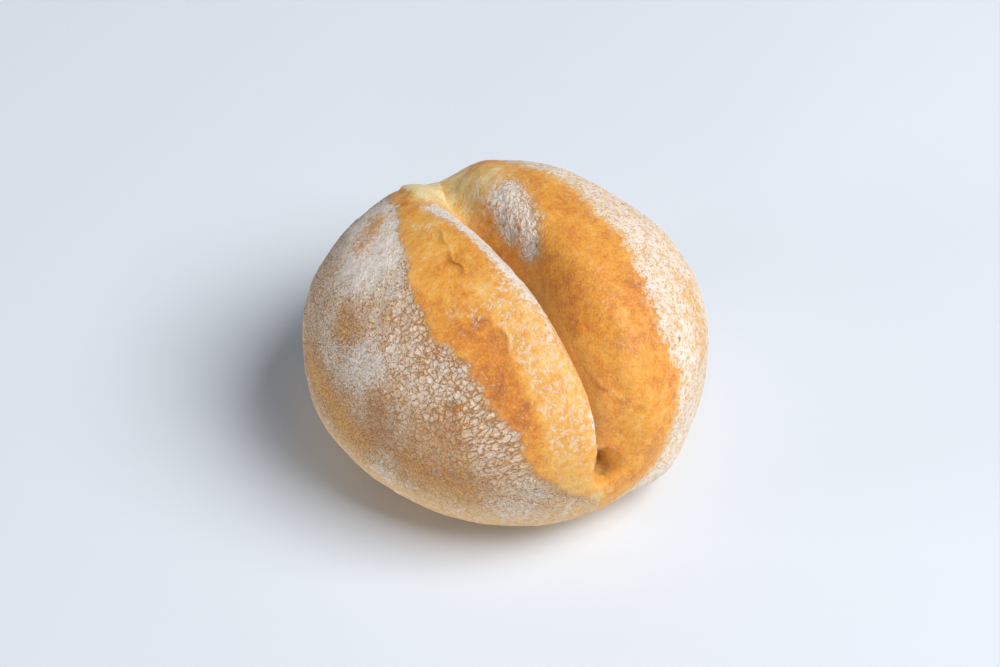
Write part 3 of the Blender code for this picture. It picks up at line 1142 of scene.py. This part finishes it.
def crust_colour(graph, look, amount, cover):
    """Colour of the crust with its flour and its cracks, painted shade in the cracks, the pit,
    beside the crease and in the folds, and the charred speck.
    """
    crackle, speckle = look.crackle, look.speckle
    film = graph.times(graph.ease(amount, *FILM_BY_FLOUR), crackle)
    # Cracks: the brown crust between the plates, darkened further as painted shade.
    crack = graph.times(graph.ease(look.plates, *CRACK_EDGE), crackle, CRACK_DARKNESS)
    crust = graph.tint(film, baked_colour(graph, look), FILM_COLOUR)
    crust = graph.tint(crack, crust, CRACK_AND_SHADE_COLOUR)
    whiteness = graph.add(amount, graph.times(speckle, WHITE_BY_SPECKLE))
    whiteness = graph.ease(whiteness, *WHITE_BY_FLOUR)
    colour = graph.tint(cover, crust, graph.tint(whiteness, THIN_FLOUR_COLOUR, THICK_FLOUR_COLOUR))
    colour = graph.tint(graph.ease(speckle, *SPECK_BY_SPECKLE), colour, SPECK_COLOUR)
    # Painted shade in the pit, beside the crease and down in the folds, then the charred speck's
    # own colour.
    for name, deep in (("painted_shade", PAINTED_SHADE_COLOUR), ("fold_shade", FOLD_SHADE_COLOUR), ("char", CHAR_COLOUR)):
        colour = graph.tint(graph.mask(name), colour, deep)
    return colour


def crust_bump(graph, look, cover):
    """Normal with the fine relief that is below the grain of the mesh."""
    noise = graph.noise(look.place, *BUMP_NOISE)
    fine = graph.add(graph.times(cover, BUMP_BY_COVER),
                     graph.times(look.speckle, BUMP_BY_SPECKLE),
                     graph.times(noise, BUMP_BY_NOISE),
                     graph.times(look.plates, look.crackle, BUMP_BY_PLATES))
    bump = graph.node("ShaderNodeBump")
    bump.inputs["Strength"].default_value = 1.0
    bump.inputs["Distance"].default_value = MM
    graph.put(fine, bump.inputs["Height"])
    return bump.outputs[0]


def crust_material():
    """Baked crust under crackled flour."""
    material, shader = new_material("crust")
    graph = Graph(material.node_tree)
    look = Look(graph)
    amount = flour_amount(graph, look)
    cover = flour_cover(graph, look, amount)
    rough = graph.blend(cover, graph.ease(look.cloud, *CRUST_ROUGHNESS), FLOUR_ROUGHNESS)
    graph.put(crust_colour(graph, look, amount, cover), shader.inputs["Base Color"])
    graph.put(rough, shader.inputs["Roughness"])
    graph.put(CRUST_SHINE, shader.inputs["Specular IOR Level"])
    graph.put(crust_bump(graph, look, cover), shader.inputs["Normal"])
    return material


def centring_shift(points):
    """Shift that brings the middle of the skin, across and along, to that of the CAD roll."""
    low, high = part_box("roll")
    middle = (points.min(axis=0) + points.max(axis=0)) / 2.0
    return np.array(((low.x + high.x) / 2.0 - middle[0], (low.y + high.y) / 2.0 - middle[1], 0.0))


def build_crust():
    """The crust piece, in place over the CAD roll."""
    points, faces = skin_grid()
    skin = Skin(points)
    shift = centring_shift(points)
    pressed = pit_share(skin.mm)[:, None] * np.array(PIT_INWARDS) * MM
    places = {"rest_mm": skin.mm, "flake_mm": stretched(skin.mm)}
    data = crust_mesh(points + pressed + shift, faces, skin_masks(skin), places)
    crust = placed("crust", data)
    with_relief(crust)
    unwrap(crust.data, (float(shift[0]), float(shift[1]), WIDEST_AT))
    crust.data.materials.clear()
    crust.data.materials.append(crust_material())
    crust.data.shade_smooth()
    return crust


# -------------------- stage

CAMERA_AZIMUTH = math.radians(-36.7)
CAMERA_ELEVATION = math.radians(48.0)
CAMERA_DISTANCE = 0.570
CAMERA_TARGET = Vector((-0.000935, 0.001665, 0.0280))
CAMERA_LENS = 84.96
CAMERA_SENSOR = 36.0
CAMERA_CLIP_START = 0.01

# A large soft key from the right, and weak fills from the left, the camera and behind:
# name, bearing from the camera's right towards the camera and elevation in degrees,
# distance and size in metres, power in watts, colour.
LAMPS = (
    ("key", 15.0, 53.0, 1.7, 1.10, 34.5, (1.0, 0.99, 0.98)),
    ("left_fill", 166.0, 10.0, 1.2, 0.38, 4.6, (0.95, 0.97, 1.0)),
    ("front_fill", 104.0, 10.0, 1.2, 0.38, 2.9, (0.95, 0.97, 1.0)),
    ("back_fill", 232.0, 48.0, 1.2, 0.72, 0.8, (0.94, 0.97, 1.0)),
)
LAMPS_AIM_HEIGHT = 0.03
SKY_COLOUR = (0.62, 0.80, 1.0, 1.0)
SKY_STRENGTH = 0.09
FLOOR_HALF = 6.0
FLOOR_COLOUR = (0.745, 0.800, 0.868, 1.0)
FLOOR_ROUGHNESS = 0.7


def camera_axes():
    """Right, up and back of the camera."""
    across = math.cos(CAMERA_ELEVATION)
    back = Vector((math.sin(CAMERA_AZIMUTH) * across, -math.cos(CAMERA_AZIMUTH) * across,
                   math.sin(CAMERA_ELEVATION)))
    right = Vector((math.cos(CAMERA_AZIMUTH), math.sin(CAMERA_AZIMUTH), 0.0))
    return right, back.cross(right), back


def build_camera():
    """Camera at the photo's viewing angle."""
    right, up, back = camera_axes()
    data = bpy.data.cameras.new("camera")
    data.lens = CAMERA_LENS
    data.sensor_width = CAMERA_SENSOR
    data.clip_start = CAMERA_CLIP_START
    camera = placed("camera", data)
    turn = Matrix((right, up, back)).transposed().to_4x4()
    camera.matrix_world = Matrix.Translation(CAMERA_TARGET + back * CAMERA_DISTANCE) @ turn
    bpy.context.scene.camera = camera


def lamp_place(bearing, elevation, distance):
    """Point at a bearing from the camera's right towards the camera, in degrees."""
    right, _, back = camera_axes()
    towards = Vector((back.x, back.y, 0.0)).normalized()
    bearing, elevation = math.radians(bearing), math.radians(elevation)
    flat = right * math.cos(bearing) + towards * math.sin(bearing)
    return (flat * math.cos(elevation) + Vector((0.0, 0.0, math.sin(elevation)))) * distance


def build_lamp(name, bearing, elevation, distance, size, power, colour):
    """A soft square lamp facing the roll."""
    data = bpy.data.lights.new(name, "AREA")
    data.energy = power
    data.size = size
    data.color = colour
    lamp = placed(name, data)
    lamp.location = lamp_place(bearing, elevation, distance)
    lamp.rotation_mode = "QUATERNION"
    back = lamp.location - Vector((0.0, 0.0, LAMPS_AIM_HEIGHT))
    lamp.rotation_quaternion = back.to_track_quat("Z", "Y")


def build_world():
    """A weak bluish sky all round."""
    world = bpy.data.worlds.new("world")
    world.use_nodes = True
    bpy.context.scene.world = world
    sky = world.node_tree.nodes["Background"]
    sky.inputs["Color"].default_value = SKY_COLOUR
    sky.inputs["Strength"].default_value = SKY_STRENGTH


def build_floor():
    """Plain pale floor."""
    data = bpy.data.meshes.new("floor")
    half = FLOOR_HALF
    data.from_pydata([(-half, -half, 0), (half, -half, 0), (half, half, 0), (-half, half, 0)],
                     [], [(0, 1, 2, 3)])
    material, shader = new_material("floor")
    shader.inputs["Base Color"].default_value = FLOOR_COLOUR
    shader.inputs["Roughness"].default_value = FLOOR_ROUGHNESS
    data.materials.append(material)
    placed("floor", data)


# -------------------- scene

for old in list(bpy.data.objects):
    bpy.data.objects.remove(old)
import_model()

crust = build_crust()
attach(crust, "root")
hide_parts("roll")

build_floor()
for lamp_row in LAMPS:
    build_lamp(*lamp_row)
build_world()
build_camera()
bpy.context.scene.view_settings.view_transform = "Standard"
